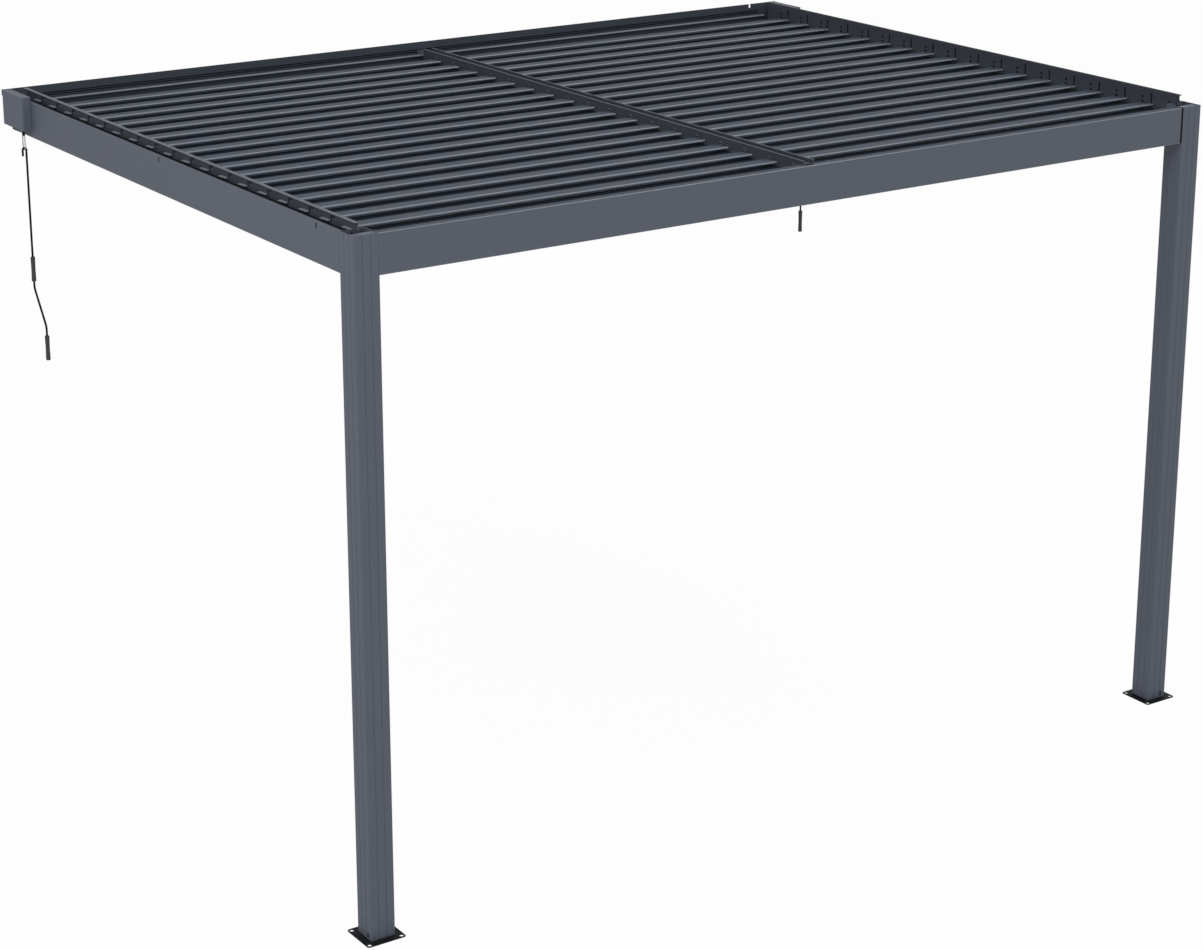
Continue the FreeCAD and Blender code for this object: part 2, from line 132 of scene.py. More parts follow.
def zincPlate(name, look):
    # dipped steel: a cold grey metal, cloudy, with fine scratches along the part
    material = newMaterial(name)
    place = patternPlace(material)
    cloud = addNode(material, "ShaderNodeTexNoise", {
        "Vector": place, "Scale": 1000.0 / look["cloudSize"], "Detail": 4.0, "Roughness": 0.6})
    along = addNode(material, "ShaderNodeMapping", {
        "Vector": place, "Scale": (1.0, 1.0 / look["scratchLength"], 1.0)})
    scratch = addNode(material, "ShaderNodeTexNoise", {
        "Vector": along.outputs["Vector"], "Scale": 1000.0 / look["scratchWidth"], "Detail": 2.0})
    base = linear(look["colour"])
    tone = addNode(material, "ShaderNodeMix", {
        0: cloud.outputs["Fac"], 6: toned(base, look["cloudTone"]), 7: base}, data_type="RGBA")
    gloss = addNode(material, "ShaderNodeMapRange", {
        "Value": scratch.outputs["Fac"], "From Min": 0.3, "From Max": 0.7,
        "To Min": look["roughness"] - 0.08, "To Max": look["roughness"] + 0.1})
    bump = addNode(material, "ShaderNodeBump", {
        "Height": scratch.outputs["Fac"], "Strength": 0.1, "Distance": 0.0001})
    shader = addNode(material, "ShaderNodeBsdfPrincipled", {
        "Base Color": tone.outputs[2], "Roughness": gloss.outputs["Result"],
        "Metallic": 1.0, "Normal": bump.outputs["Normal"]})
    addNode(material, "ShaderNodeOutputMaterial", {"Surface": shader.outputs["BSDF"]})
    return material


def mouldedPlastic(name, look):
    # moulded in a spark-eroded tool: an even dull skin with a fine grain and slight smears
    material = newMaterial(name)
    place = patternPlace(material)
    pits = addNode(material, "ShaderNodeTexVoronoi", {
        "Vector": place, "Scale": 1000.0 / look["grain"]}, feature="SMOOTH_F1")
    smear = addNode(material, "ShaderNodeTexNoise", {
        "Vector": place, "Scale": 1000.0 / look["smearSize"], "Detail": 3.0})
    base = linear(look["colour"])
    tone = addNode(material, "ShaderNodeMix", {
        0: smear.outputs["Fac"], 6: base, 7: toned(base, 1.35, 0.004)}, data_type="RGBA")
    gloss = addNode(material, "ShaderNodeMapRange", {
        "Value": smear.outputs["Fac"], "From Min": 0.3, "From Max": 0.7,
        "To Min": look["roughness"] - 0.06, "To Max": look["roughness"] + 0.06})
    bump = addNode(material, "ShaderNodeBump", {
        "Height": pits.outputs["Distance"], "Strength": 0.3, "Distance": 0.0002})
    shader = addNode(material, "ShaderNodeBsdfPrincipled", {
        "Base Color": tone.outputs[2], "Roughness": gloss.outputs["Result"], "IOR": 1.46,
        "Specular IOR Level": look["specular"], "Normal": bump.outputs["Normal"]})
    addNode(material, "ShaderNodeOutputMaterial", {"Surface": shader.outputs["BSDF"]})
    return material


# Helpers for outlines and surfaces

def filletOutline(corners, radius, steps=4):
    # closed outline in a plane: each corner becomes an arc of its radius, turned about a centre
    # on the corner's bisector; the radius may be one number or one for each corner
    corners = np.asarray(corners, float)
    radii = np.broadcast_to(np.asarray(radius, float), (len(corners),))
    before = np.roll(corners, 1, axis=0) - corners
    after = np.roll(corners, -1, axis=0) - corners
    parts = []
    for corner, a, b, r in zip(corners, before, after, radii):
        lengthA, lengthB = np.hypot(*a), np.hypot(*b)
        a, b = a / lengthA, b / lengthB
        half = 0.5 * np.arccos(np.clip(a @ b, -1.0, 1.0))
        if r <= 0.0 or abs(half - pi / 2) < 1e-4:
            parts.append(corner[None])
            continue
        reach = min(r / tan(half), 0.48 * lengthA, 0.48 * lengthB)
        r = reach * tan(half)
        bisector = (a + b) / np.hypot(*(a + b))
        centre = corner + bisector * r / sin(half)
        start = corner + a * reach - centre
        turn = pi - 2.0 * half
        if a[0] * b[1] - a[1] * b[0] > 0.0:
            turn = -turn
        t = np.linspace(0.0, turn, steps + 1)
        parts.append(centre + np.stack([start[0] * np.cos(t) - start[1] * np.sin(t),
                                        start[0] * np.sin(t) + start[1] * np.cos(t)], axis=1))
    return np.concatenate(parts)


def filletPath(corners, radius, steps=8):
    # open path in space: each inner corner becomes an arc between the two points where it
    # leaves the straight runs, as a sine-weighted blend of the arc's first and last radius
    corners = np.asarray(corners, float)
    parts = [corners[:1]]
    for k in range(1, len(corners) - 1):
        a, b = corners[k - 1] - corners[k], corners[k + 1] - corners[k]
        lengthA, lengthB = np.linalg.norm(a), np.linalg.norm(b)
        a, b = a / lengthA, b / lengthB
        half = 0.5 * np.arccos(np.clip(a @ b, -1.0, 1.0))
        reach = min(radius / tan(half), 0.49 * lengthA, 0.49 * lengthB)
        r = reach * tan(half)
        bisector = (a + b) / np.linalg.norm(a + b)
        centre = corners[k] + bisector * r / sin(half)
        first = corners[k] + a * reach - centre
        last = corners[k] + b * reach - centre
        turn = pi - 2.0 * half
        t = np.linspace(0.0, 1.0, steps + 1)[:, None]
        blend = first * np.sin((1 - t) * turn) + last * np.sin(t * turn)
        parts.append(centre + blend / sin(turn))
    parts.append(corners[-1:])
    return np.concatenate(parts)


def gridFaces(rows, columns, closedAlong=False):
    # quads between neighbours of a grid that is closed across, and along too where asked
    i = np.arange(rows if closedAlong else rows - 1)[:, None]
    j = np.arange(columns)[None, :]
    i2 = (i + 1) % rows
    j2 = (j + 1) % columns
    quads = np.stack([i * columns + j, i * columns + j2, i2 * columns + j2, i2 * columns + j],
                     axis=-1)
    return quads.reshape(-1, 4).tolist()


def endFaces(rows, columns):
    # the first and the last ring of a grid, each as one face
    return [list(range(columns)), list(range((rows - 1) * columns, rows * columns))]


def prism(outline, axis, start, end):
    # P(i, side) = outline i across the axis, at the start or the end along it; ends closed
    outline = np.asarray(outline, float)
    n = len(outline)
    across = [k for k in range(3) if k != axis]
    points = np.zeros((2 * n, 3))
    points[:n, axis] = start
    points[n:, axis] = end
    points[:n, across] = outline
    points[n:, across] = outline
    i = np.arange(n)
    j = (i + 1) % n
    walls = np.stack([i, j, j + n, i + n], axis=1).tolist()
    return points, walls + endFaces(2, n)


def lathe(profile, axis, centre, segments):
    # P(i, t) = centre + height i along the axis + radius i (cos t, sin t) across it; ends closed
    profile = np.asarray(profile, float)
    t = np.linspace(0.0, 2 * pi, segments, endpoint=False)
    across = [k for k in range(3) if k != axis]
    n = len(profile)
    points = np.zeros((n, segments, 3))
    points[:, :, axis] = profile[:, 1][:, None]
    points[:, :, across[0]] = profile[:, 0][:, None] * np.cos(t)
    points[:, :, across[1]] = profile[:, 0][:, None] * np.sin(t)
    points = points.reshape(-1, 3) + np.asarray(centre, float)
    return points, gridFaces(n, segments) + endFaces(n, segments)


def tube(path, radius, segments, closed=False, normal=(1.0, 0.0, 0.0)):
    # P(i, t) = path i + radius (cos t * U i + sin t * V i), with U and V square to the path
    path = np.asarray(path, float)
    normal = np.asarray(normal, float)
    if closed:
        tangent = np.roll(path, -1, axis=0) - np.roll(path, 1, axis=0)
    else:
        tangent = np.gradient(path, axis=0)
    tangent /= np.linalg.norm(tangent, axis=1)[:, None]
    u = normal - tangent * (tangent @ normal)[:, None]
    u /= np.linalg.norm(u, axis=1)[:, None]
    v = np.cross(tangent, u)
    t = np.linspace(0.0, 2 * pi, segments, endpoint=False)[None, :, None]
    points = path[:, None, :] + radius * (np.cos(t) * u[:, None, :] + np.sin(t) * v[:, None, :])
    faces = gridFaces(len(path), segments, closedAlong=closed)
    if not closed:
        faces += endFaces(len(path), segments)
    return points.reshape(-1, 3), faces


def gather(parts, sign=1.0):
    # one set of points, faces and material indices for parts that are each (points, faces,
    # index); a sign of -1 mirrors them to the left
    points, faces, indices = [], [], []
    count = 0
    for partPoints, partFaces, index in parts:
        points.append(partPoints)
        faces += [[v + count for v in face] for face in partFaces]
        indices += [index] * len(partFaces)
        count += len(partPoints)
    return np.concatenate(points) * (sign, 1.0, 1.0), faces, indices


# Helpers for meshes and pieces

def linkObject(name, mesh):
    obj = bpy.data.objects.new(name, mesh)
    bpy.context.scene.collection.objects.link(obj)
    return obj


def addMesh(name, points, faces, materials, indices=None):
    mesh = bpy.data.meshes.new(name)
    mesh.from_pydata((np.asarray(points) * mm).tolist(), [], faces)
    for material in materials:
        mesh.materials.append(material)
    if indices is not None:
        mesh.polygons.foreach_set("material_index", indices)
    work = bmesh.new()
    work.from_mesh(mesh)
    bmesh.ops.recalc_face_normals(work, faces=work.faces)
    work.to_mesh(mesh)
    work.free()
    mesh.shade_smooth()
    mesh.set_sharp_from_angle(angle=radians(50.0))
    mesh.update()
    return linkObject(name, mesh)


def readFaces(mesh):
    # centres in mm, normals and material indices of a mesh's faces, as arrays
    count = len(mesh.polygons)
    centres, normals = np.empty(count * 3), np.empty(count * 3)
    indices = np.empty(count, dtype=np.int32)
    mesh.polygons.foreach_get("center", centres)
    mesh.polygons.foreach_get("normal", normals)
    mesh.polygons.foreach_get("material_index", indices)
    return centres.reshape(-1, 3) / mm, normals.reshape(-1, 3), indices


def clampMesh(obj, axis, limit, clip):
    # points past a limit in mm are moved back to it, by np.minimum or np.maximum
    mesh = obj.data
    place = np.empty(len(mesh.vertices) * 3)
    mesh.vertices.foreach_get("co", place)
    place = place.reshape(-1, 3)
    place[:, axis] = clip(place[:, axis], limit * mm)
    mesh.vertices.foreach_set("co", place.ravel())


def finishPiece(obj, body, nodes=()):
    # flat faces keep flat shading; the piece rides on a body and may stand in for CAD nodes
    weighting = obj.modifiers.new("flat faces stay flat", "WEIGHTED_NORMAL")
    weighting.keep_sharp = True
    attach(obj, body)
    if nodes:
        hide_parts(*nodes)


def roundedCopy(node, body, radius, material, edge=None, tops=()):
    # a merged copy of a CAD node's mesh with rounded edges; sloping faces and the roundings
    # take the edge material, and level faces between two heights in mm take one of the tops
    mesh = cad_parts[node].data.copy()
    mesh.name = node + "_shape"
    mesh.materials.clear()
    for layer in (material, edge or material, *(top[0] for top in tops)):
        mesh.materials.append(layer)
    work = bmesh.new()
    work.from_mesh(mesh)
    bmesh.ops.remove_doubles(work, verts=work.verts, dist=0.01 * mm)
    bmesh.ops.join_triangles(work, faces=work.faces, angle_face_threshold=radians(1.0),
                             angle_shape_threshold=radians(60.0))
    bmesh.ops.recalc_face_normals(work, faces=work.faces)
    work.to_mesh(mesh)
    work.free()
    mesh.shade_smooth()
    centres, normals, _ = readFaces(mesh)
    height = centres[:, 2]
    indices = (np.abs(normals).max(axis=1) < 0.9).astype(np.int32)     # 1 on sloping faces
    for k, (_, low, high) in enumerate(tops):
        indices[(normals[:, 2] > 0.9) & (height > low) & (height < high)] = k + 2
    mesh.polygons.foreach_set("material_index", indices)
    obj = linkObject(node + "_shape", mesh)
    rounding = obj.modifiers.new("rounding", "BEVEL")
    rounding.width = radius * mm
    rounding.segments = 2
    rounding.limit_method = "ANGLE"
    rounding.angle_limit = radians(30.0)
    rounding.harden_normals = True
    rounding.miter_outer = "MITER_ARC"
    if edge:
        rounding.material = 1
    finishPiece(obj, body, [node])
    return obj


# Materials

coatLook = {
    "driftSize": 260.0, "drift": 0.05,      # slow changes of tone along a profile
    "pebbleSize": 5.0, "speck": 0.05,       # real pebbles are under 1 mm; drawn coarser to show
    "roughness": 0.6, "glossDrift": 0.05, "bump": 0.25, "specular": 0.25,
}
dullLook = dict(coatLook, roughness=0.66, specular=0.15)                # chalkier, less sheen
smoothLook = dict(coatLook, roughness=0.34, specular=0.5, bump=0.1)     # thinner and smoother
zincLook = {
    "colour": "#b4b8bc", "roughness": 0.38,
    "cloudSize": 14.0, "cloudTone": 0.72,
    # real scratches are finer, and drawn coarser to show; the length is in widths
    "scratchWidth": 1.5, "scratchLength": 20.0,
}
plasticLook = {"colour": "#2b2e33", "roughness": 0.55, "specular": 0.5,
               "grain": 1.6, "smearSize": 25.0}     # real grain is 0.1 mm; drawn coarser

# satin anthracite skin on extruded posts and beams: even, soft and slightly blue
coat = powderCoat("anthracite powder-coated aluminium", "#545964", coatLook)
# painted highlight: a lighter, smoother coat on edges, washers and the middle rails' tops stands in
# for the light that edges catch
edgeHighlightCoat = powderCoat("lighter powder coat as a painted highlight on edges", "#686d77", smoothLook)
# folded rails in a darker batch, which set the roof off from the beams
railCoat = powderCoat("dark powder-coated aluminium", "#363b43", coatLook)
# painted highlight: the tabs along the rails' outer face are drawn light grey, a row of short light
# dashes
tabHighlightCoat = powderCoat("powder coat with a painted highlight on the tabs", "#8a8e97", coatLook)
# painted shade: blades and level tops are drawn in a darker blue grey, as they lie open to the sky
# and look dull
shadedTopCoat = powderCoat("powder coat with painted shade on blades and level tops", "#38404b", dullLook)
# painted highlight: a touch lighter on the band just behind the lip
noseHighlightCoat = powderCoat("powder coat with a painted highlight behind the lip", "#424b57", dullLook)
# painted highlight: a raised lip, drawn in a lighter grey, makes one fine light line along each
# louvre and the wall gutter
lipHighlightCoat = powderCoat("lip with a painted highlight", "#7d838e", smoothLook)
# black plates under the posts
blackCoat = powderCoat("black powder-coated steel", "#111316", dullLook)
# painted shade: the wall beam and flashing, sheltered by the wall, are drawn darker and flatter
wallShadeCoat = powderCoat("powder coat with painted shade by the wall", "#3d424b", dullLook)
# painted shade, nearly black, on the level tops of the flashing and the right rail seen from above
shadeCoat = powderCoat("painted shade on level sheet tops", "#1a1d22", dullLook)
# painted shade in the deep rain channels and on the gutter rim's front, which draws a dark line
# behind each blade
channelShadeCoat = powderCoat("painted shade in the rain channels", "#161c25", dullLook)
# the crank's rod and spindle, a plain deep black
rodCoat = powderCoat("black enamelled rod", "#050506", dullLook)
# bright fittings: eyes and anchor bolts
zinc = zincPlate("zinc-plated steel", zincLook)
# levers, pins and link bars, passivated almost black
darkZinc = zincPlate("blackened zinc steel", dict(zincLook, colour="#24272b", roughness=0.5))
# sleeves on the crank, grey black with a soft sheen
gripPlastic = mouldedPlastic("moulded grip plastic", plasticLook)
# end caps of the blades, dull black
blackNylon = mouldedPlastic("black nylon", dict(
    plasticLook, colour="#0b0c0d", roughness=0.6, specular=0.15, grain=1.2))
# black rubber on seals and plugged screw heads, which hardly reflect; the same black is also
# painted shade in the slots, along the rails' outer face and in the joint at the right post
blackRubberAndShade = mouldedPlastic("black rubber and painted shade", dict(
    plasticLook, colour="#101214", roughness=0.9, specular=0.08, grain=1.0))
print("materials made")


# Straight profiles and plates: the CAD forms with their edges rounded

# edge radius, material, edge material, and a material for level faces between two heights
# the edge coat is a painted highlight on edges and the middle rails' tops, as is the plain coat on
# the left rail's top; the blade coat on the front beam's top and the shade coat on the flashing's
# and right rail's tops are painted shade, and so is the wall coat
profileLooks = {
    "left_post": (1.1, coat, None, ()),
    "right_post": (1.1, coat, None, ()),
    "left_foot_plate": (1.0, blackCoat, None, ()),
    "right_foot_plate": (1.0, blackCoat, None, ()),
    "front_beam": (1.0, coat, edgeHighlightCoat, ((shadedTopCoat, 60.0, 80.0),)),
    "wall_beam": (0.8, wallShadeCoat, None, ()),
    "wall_flashing": (0.6, wallShadeCoat, None, ((shadeCoat, 90.0, 120.0),)),
    "middle_beam": (0.9, coat, None, ((railCoat, 50.0, 80.0),)),
    "left_side_beam": (1.0, coat, None, ()),
    "right_side_beam": (1.0, coat, None, ()),
    "left_louvre_rail": (0.8, railCoat, edgeHighlightCoat, ((coat, 100.0, 120.0),)),
    "right_louvre_rail": (0.8, railCoat, None, ((shadeCoat, 100.0, 120.0),)),
    "left_middle_rail": (0.8, railCoat, edgeHighlightCoat, ((edgeHighlightCoat, 70.0, 80.0),)),
    "right_middle_rail": (0.8, railCoat, edgeHighlightCoat, ((edgeHighlightCoat, 70.0, 80.0),)),
    "left_gear_housing": (1.3, coat, None, ()),
    "right_gear_housing": (1.3, coat, None, ()),
}
# the front beam stops short of the right post, and the rails' front ends are drawn in
endLook = {"jointGap": 10.0, "railFront": {"left": -2911.0, "right": -2882.0}}
linkBarRounding = 0.5

profiles = {node: roundedCopy(node, "frame", *values) for node, values in profileLooks.items()}
clampMesh(profiles["front_beam"], 0, roof["postFace"] - endLook["jointGap"], np.minimum)
for side in sides:
    clampMesh(profiles[side + "_louvre_rail"], 1, endLook["railFront"][side], np.maximum)
    roundedCopy(side + "_link_bar", side + "_link_bar", linkBarRounding, darkZinc)
print("straight profiles rounded")


# Louvres: hollow blades on pins, with end caps, levers and a top sheet over the levers

louvreLook = {
    "inner": 41.0, "outer": 1912.0,          # blade's ends, from the middle
    "outerAtPost": 1892.0,                   # the first blade ends short of the post
    "sheetEnd": 1936.0, "sheetLap": 0.2,     # the top sheet runs on over the levers
    "capThickness": 3.0,
    "pinRadius": 5.0, "pinChamfer": 0.8,
    "pinInner": 23.6, "pinOuter": 1956.0, "driveOuter": 2020.0,
    "leverNear": 1924.0, "leverFar": 1928.0, "leverReach": 36.0, "leverAngle": 45.0,
    "leverHead": 9.0, "leverTip": 6.0,
    "linkPinRadius": 3.5, "linkPinEnd": 1916.0,
    "linkHeadRadius": 4.9, "linkHeadTop": 4.3, "linkHeadLength": 2.0, "linkHeadBevel": 0.6,
    # where the painted highlight and shade change: how far behind the pivot, less than nothing in
    # front of it
    "lipEnd": -79.0, "noseEnd": -62.0, "channelStart": -2.0,
    "channelFloor": -6.0,                    # and how far above it
}
# corners: how far behind the pivot, how far above it, and the rounding
lipCorners = [(-83.0, 9.0, 1.0), (-83.0, 15.0, 3.6), (-62.0, 14.4, 40.0), (-30.0, 12.2, 60.0)]
hemCorners = [(-80.0, 10.5, 0.6), (-80.0, 9.0, 0.6)]
bladeCorners = np.array(lipCorners + [
    (-3.0, 9.8, 5.0), (10.0, -4.0, 6.0), (83.0, -5.0, 1.0), (85.0, 0.0, 1.2), (89.0, 0.0, 1.4),
    (89.0, -8.0, 2.5), (-41.0, -8.0, 4.0), (-49.0, 0.0, 4.0), (-49.0, 10.5, 1.0)] + hemCorners)
sheetCorners = np.array(lipCorners + [
    (3.0, 9.4, 1.0), (3.0, 7.6, 0.8), (-30.0, 10.2, 40.0), (-49.0, 10.5, 10.0)] + hemCorners)

louvreMaterials = [shadedTopCoat, darkZinc, blackNylon, lipHighlightCoat, noseHighlightCoat, channelShadeCoat]
blade, metal, plastic, lip, nose, channel = range(6)      # their places in that list


def leverOutline(look):
    # outline round two circles, a large one on the pivot and a small one on the link pin
    angle = radians(look["leverAngle"])
    direction = np.array([sin(angle), -cos(angle)])
    square = np.array([direction[1], -direction[0]])
    head, tip = look["leverHead"], look["leverTip"]
    lean = np.arcsin((head - tip) / look["leverReach"])
    t = np.linspace(pi / 2 + lean, 3 * pi / 2 - lean, 9)
    headArc = head * (np.cos(t)[:, None] * direction + np.sin(t)[:, None] * square)
    t = np.linspace(-pi / 2 - lean, pi / 2 + lean, 9)
    tipArc = look["leverReach"] * direction + tip * (
        np.cos(t)[:, None] * direction + np.sin(t)[:, None] * square)
    return np.concatenate([headArc, tipArc])


def louvreParts(look, index, y, z):
    # outlines round the pivot at y, z are carried along x, and pins are lathed about it
    outer = look["outerAtPost"] if index == 0 else look["outer"]
    cap = look["capThickness"]
    outline = filletOutline(bladeCorners[:, :2], bladeCorners[:, 2]) + (y, z)
    parts = [(*prism(outline, 0, look["inner"] + cap, outer - cap), blade)]
    for start, end in ((look["inner"], look["inner"] + cap), (outer - cap, outer)):
        parts.append((*prism(outline, 0, start, end), plastic))
    if index:
        cover = filletOutline(sheetCorners[:, :2], sheetCorners[:, 2]) + (y, z)
        parts.append((*prism(cover, 0, outer - look["sheetLap"], look["sheetEnd"]), blade))
    driven = index == roof["louvres"] - 1
    pinEnd = look["driveOuter"] if driven else look["pinOuter"]
    r, chamfer = look["pinRadius"], look["pinChamfer"]
    for start, end in ((look["pinInner"], look["inner"]), (outer, pinEnd)):
        profile = [(r - chamfer, start), (r, start + chamfer), (r, end - chamfer),
                   (r - chamfer, end)]
        parts.append((*lathe(profile, 0, (0.0, y, z), 16), metal))
    lever = leverOutline(look) + (y, z)
    parts.append((*prism(lever, 0, look["leverNear"], look["leverFar"]), metal))
    r, head, end = look["linkPinRadius"], look["linkHeadRadius"], look["linkPinEnd"]
    profile = [(r, look["leverNear"]), (r, end + look["linkHeadLength"]),
               (head, end + look["linkHeadLength"]), (head, end + look["linkHeadBevel"]),
               (look["linkHeadTop"], end)]
    angle = radians(look["leverAngle"])
    linkPlace = (0.0, y + look["leverReach"] * sin(angle), z - look["leverReach"] * cos(angle))
    parts.append((*lathe(profile, 0, linkPlace, 12), metal))
    return parts


def colourBlade(look, mesh, y, z):
    # the lip and the band behind it take painted highlights, and the rain channel takes painted
    # shade
    centres, normals, indices = readFaces(mesh)
    behind, above = centres[:, 1] - y, centres[:, 2] - z
    skin = (indices == blade) & (np.abs(normals[:, 0]) < 0.5)
    indices[skin & (behind < look["lipEnd"]) & (normals[:, 2] > -0.3)] = lip
    indices[skin & (behind > look["lipEnd"]) & (behind < look["noseEnd"])
            & (normals[:, 2] > 0.5)] = nose
    indices[skin & (behind > look["channelStart"]) & (above > look["channelFloor"])
            & (normals[:, 2] > -0.5)] = channel
    mesh.polygons.foreach_set("material_index", indices)


for side, sign in sides.items():
    for index in range(roof["louvres"]):
        node = "%s_louvre_%02d" % (side, index + 1)
        y = roof["front"] + roof["firstPivot"] + index * roof["pitch"]
        z = roof["pivotHeight"]
        points, faces, indices = gather(louvreParts(louvreLook, index, y, z), sign)
        louvre = addMesh(node + "_blade", points, faces, louvreMaterials, indices)
        colourBlade(louvreLook, louvre.data, y, z)
        finishPiece(louvre, node, [node])
print("louvres made")


# Fittings on the rails, beams, wall plate and housing

fittingLook = {
    # phases are from the start of each louvre's pitch, heights from the beams' mid height
    # slots are thin black skins of painted shade where the slits lie dark
    "slotPhase": 82.0, "slotWidth": 8.0, "slotSkin": 0.6,
    "slotHeights": (46.0, 92.0), "outerSlotHeights": (74.0, 92.0),
    "screwPhase": 133.0, "screwHeights": (70.0, 50.0), "screwRadius": 6.2, "screwProud": 1.4,
    "outerScrews": ((63.0, 94.0), (81.0, 91.0)), "outerScrewRadius": 5.5,
    "tabPhases": (84.0, 142.0), "tabHeight": 78.5, "tabFall": 1.0, "tabThickness": 2.0,
    "tabOut": 1966.0, "tabRounding": 0.8,
    # the strip is a long black skin of painted shade along the rail's outer face
    "stripEnds": (-2908.0, -220.0), "stripHeights": (47.0, 65.0), "stripSkin": (0.4, 0.9),
    "sideSlots": (-2698.0, -1442.0), "sideSlotHeights": (50.0, 70.0), "sideSlotSkin": (1.0, 0.3),
    "middleFace": 25.0, "middleScrew": (132.0, 50.0), "washerRadius": 7.6, "washerProud": 0.7,
    "middleScrewRadius": 5.0, "middleScrewSeat": 0.6, "middleScrewProud": 1.6,
    "anchors": (616.667, 1850.0), "anchorHeight": 20.0, "wallPlate": -3.0,
    # washer and head: radius, and y from the plate's face, negative out from the wall
    "anchorProfile": ((10.0, 0.4), (10.0, -1.2), (9.4, -1.8), (7.2, -1.8), (7.0, -6.6),
                      (6.0, -7.4)),
    "housingFace": 2040.0, "housingScrew": (-185.0, 85.0), "housingScrewRadius": 4.0,
    "housingScrewSink": 0.9, "housingScrewProud": 0.8,
}
fittingMaterials = [blackRubberAndShade, tabHighlightCoat, zinc, edgeHighlightCoat]
rubberAndShade, tabHighlight, plated, bright = range(4)      # their places in that list


def oblong(centreY, heights, width):
    # upright slot outline with round ends, between two heights
    w, h = width / 2, (heights[1] - heights[0]) / 2
    corners = [(-w, -h), (w, -h), (w, h), (-w, h)]
    return filletOutline(corners, w * 0.98, 5) + (centreY, (heights[0] + heights[1]) / 2)


def screwHead(x, y, z, radius, proud):
    # low dome: the radius falls as a quarter ellipse with the height above the face at x, to
    # about a third; it starts half a millimetre inside the face
    t = np.linspace(0.0, pi / 2, 5)
    dome = np.column_stack([radius * (0.35 + 0.65 * np.cos(t)), x + proud * np.sin(t)])
    profile = np.concatenate([[(radius, x - np.sign(proud) * 0.5)], dome])
    return lathe(profile, 0, (0.0, y, z), 16)


def louvreFittings(look, index, inner, outer):
    # what each louvre has on its two rails: slots of painted shade, screws and a tab
    start = roof["front"] + index * roof["pitch"]
    parts = []
    if index:
        for x, heights in ((inner, look["slotHeights"]), (outer, look["outerSlotHeights"])):
            slot = oblong(start + look["slotPhase"], heights, look["slotWidth"])
            parts.append((*prism(slot, 0, x - look["slotSkin"], x + look["slotSkin"]), rubberAndShade))
    for height in look["screwHeights"]:
        parts.append((*screwHead(inner, start + look["screwPhase"], height, look["screwRadius"],
                                 -look["screwProud"]), rubberAndShade))
    if index:
        for phase, height in look["outerScrews"]:
            parts.append((*screwHead(outer, start + phase, height, look["outerScrewRadius"],
                                     look["screwProud"]), rubberAndShade))
    phase, height = look["middleScrew"]
    face = look["middleFace"]
    parts.append((*screwHead(face, start + phase, height, look["washerRadius"],
                             look["washerProud"]), bright))
    parts.append((*screwHead(face + look["middleScrewSeat"], start + phase, height,
                             look["middleScrewRadius"], look["middleScrewProud"]), rubberAndShade))
    near, far = (start + phase for phase in look["tabPhases"])
    top, low = look["tabHeight"], look["tabHeight"] - look["tabFall"]
    # the tab's light grey is a painted highlight on its top
    tab = filletOutline([(near, top), (far, low), (far, low - look["tabThickness"]),
                         (near, top - look["tabThickness"])], look["tabRounding"], 2)
    parts.append((*prism(tab, 0, outer, look["tabOut"]), tabHighlight))
    return parts


def railFittings(look):
    # every louvre's fittings, then the side beam's slots and a long strip, both painted shade,
    # anchors and housing screw
    inner, outer = roof["railInner"], roof["railOuter"]
    parts = []
    for index in range(roof["louvres"]):
        parts += louvreFittings(look, index, inner, outer)
    for y in look["sideSlots"]:
        slot = oblong(y, look["sideSlotHeights"], look["slotWidth"])
        sink, proud = look["sideSlotSkin"]
        parts.append((*prism(slot, 0, roof["beamFace"] - sink, roof["beamFace"] + proud), rubberAndShade))
    front, rear = look["stripEnds"]
    strip = oblong((front + rear) / 2, look["stripHeights"], rear - front)
    sink, proud = look["stripSkin"]
    parts.append((*prism(strip, 0, outer - sink, outer + proud), rubberAndShade))
    anchor = [(radius, look["wallPlate"] + place) for radius, place in look["anchorProfile"]]
    for x in look["anchors"]:
        parts.append((*lathe(anchor, 1, (x, 0.0, look["anchorHeight"]), 6), plated))
    y, z = look["housingScrew"]
    parts.append((*screwHead(look["housingFace"] - look["housingScrewSink"], y, z,
                             look["housingScrewRadius"], look["housingScrewProud"]), rubberAndShade))
    return parts


for side, sign in sides.items():
    points, faces, indices = gather(railFittings(fittingLook), sign)
    fittings = addMesh(side + "_rail_fittings", points, faces, fittingMaterials, indices)
    finishPiece(fittings, "frame")


# Folded rim on the wall gutter's upstand, and the two ribs of the seal under the flashing

rimLook = {
    "front": -64.0, "rear": -34.0, "foot": 19.0, "top": 52.0, "sheet": 2.0, "end": 1930.0,
    "faceHeight": 6.0,                       # painted highlight strip down the front, below the fold
    "crownDepth": 4.0, "crownDrop": 0.2, "rearDrop": 1.7,
    "rounding": 0.9,
    "ribs": (55.5, 64.5), "ribHeight": 4.6, "ribFront": -7.2, "ribRear": -5.2,
}
rimMaterials = [shadedTopCoat, lipHighlightCoat, blackRubberAndShade, channelShadeCoat]
sheet, light, rib, dark = range(4)           # their places in that list


